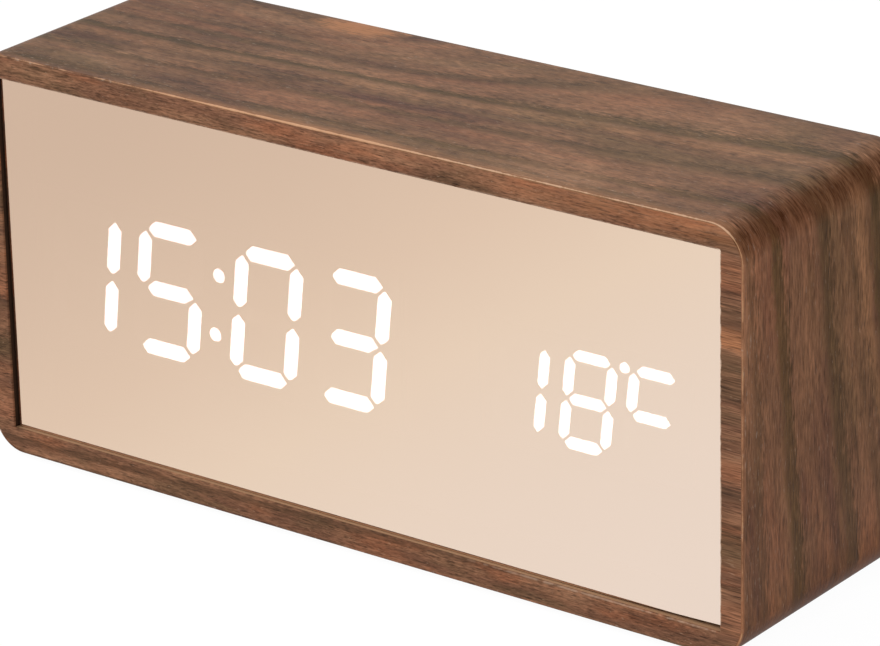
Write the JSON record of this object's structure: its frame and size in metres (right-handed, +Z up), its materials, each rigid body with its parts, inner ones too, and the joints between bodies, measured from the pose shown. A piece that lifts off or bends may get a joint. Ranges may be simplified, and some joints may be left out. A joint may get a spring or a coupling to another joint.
{
  "type": "digital alarm clock",
  "caption": "Walnut-veneered box clock with a recessed rose-tinted mirror front, glowing segment time and temperature digits, rear set buttons, power socket and battery door.",
  "frame": {"origin": "middle of the clock's footprint, on the surface that it stands on", "axes": "+X to the right as seen from the front, +Y to the back, +Z up; the mirror faces -Y"},
  "size_m": [0.15, 0.045, 0.071],
  "materials": {
    "walnut_veneer": "satin walnut grain",
    "fibreboard": "dark stained fibreboard",
    "foot_rubber": "matte",
    "rose_mirror": "rose-tinted two-way mirror",
    "foam_tape": "matte foam",
    "black_plastic": "fine spark texture",
    "white_plastic": "moulded",
    "lit_resin": "glowing white",
    "dark_resin": "milky, unlit",
    "lamp": "lamp chip",
    "circuit_board": "solder mask",
    "zinc_screw": "zinc plated",
    "black_screw": "black oxide",
    "chip_plastic": "moulded",
    "nickel_can": "nickel plated",
    "capacitor_can": "sleeved can",
    "nylon": "natural nylon",
    "ribbon_vinyl": "vinyl",
    "socket_steel": "tin plated",
    "sensor_epoxy": "epoxy bead",
    "contact_steel": "nickel plated",
    "cell_jacket": "printed jacket",
    "red_vinyl": "vinyl",
    "black_vinyl": "vinyl",
    "button_plastic": "satin",
    "plunger_plastic": "moulded"
  },
  "bodies": {
    "clock": {"case_top": "fibreboard", "case_bottom": "fibreboard", "case_left": "fibreboard", "case_right": "fibreboard", "wrap_veneer": "walnut_veneer", "front_veneer": "walnut_veneer", "rear_veneer": "walnut_veneer", "feet": "foot_rubber", "mirror_panel": "rose_mirror", "mirror_tape": "foam_tape", "inner_frame": "black_plastic", "time_reflector": "white_plastic", "temp_reflector": "white_plastic", "time_segments_lit": "lit_resin", "time_segments_dark": "dark_resin", "temp_segments_lit": "lit_resin", "temp_segments_dark": "dark_resin", "lamp_chips": "lamp", "display_board": "circuit_board", "display_screws": "zinc_screw", "driver_chip": "chip_plastic", "clock_chip": "chip_plastic", "clock_crystal": "nickel_can", "capacitors": "capacitor_can", "display_plug": "nylon", "ribbon_cable": "ribbon_vinyl", "control_plug": "nylon", "control_board": "circuit_board", "control_screws": "zinc_screw", "push_switches": "chip_plastic", "usb_shell": "socket_steel", "usb_tongue": "chip_plastic", "buzzer": "chip_plastic", "temp_sensor": "sensor_epoxy", "rear_cover": "black_plastic", "rear_screws": "black_screw", "contact_plates": "contact_steel", "contact_springs": "contact_steel", "battery_cells": "cell_jacket", "red_lead": "red_vinyl", "black_lead": "black_vinyl"},
    "set_button": {"set_button": "button_plastic", "set_plunger": "plunger_plastic"},
    "up_button": {"up_button": "button_plastic", "up_plunger": "plunger_plastic"},
    "down_button": {"down_button": "button_plastic", "down_plunger": "plunger_plastic"},
    "battery_door": {"battery_door": "black_plastic"}
  },
  "joints": [
    {"name": "set_press", "type": "slide", "parent": "clock", "child": "set_button", "axis": [0, -1, 0], "range_m": [0, 0.0005], "stiffness_N_per_m": 800},
    {"name": "up_press", "type": "slide", "parent": "clock", "child": "up_button", "axis": [0, -1, 0], "range_m": [0, 0.0005], "stiffness_N_per_m": 800},
    {"name": "down_press", "type": "slide", "parent": "clock", "child": "down_button", "axis": [0, -1, 0], "range_m": [0, 0.0005], "stiffness_N_per_m": 800},
    {"name": "battery_door_swing", "type": "hinge", "parent": "clock", "child": "battery_door", "pos_m": [-0.0314, 0.0204, 0.01875], "axis": [-1, 0, 0], "range_deg": [0, 90]}
  ]
}
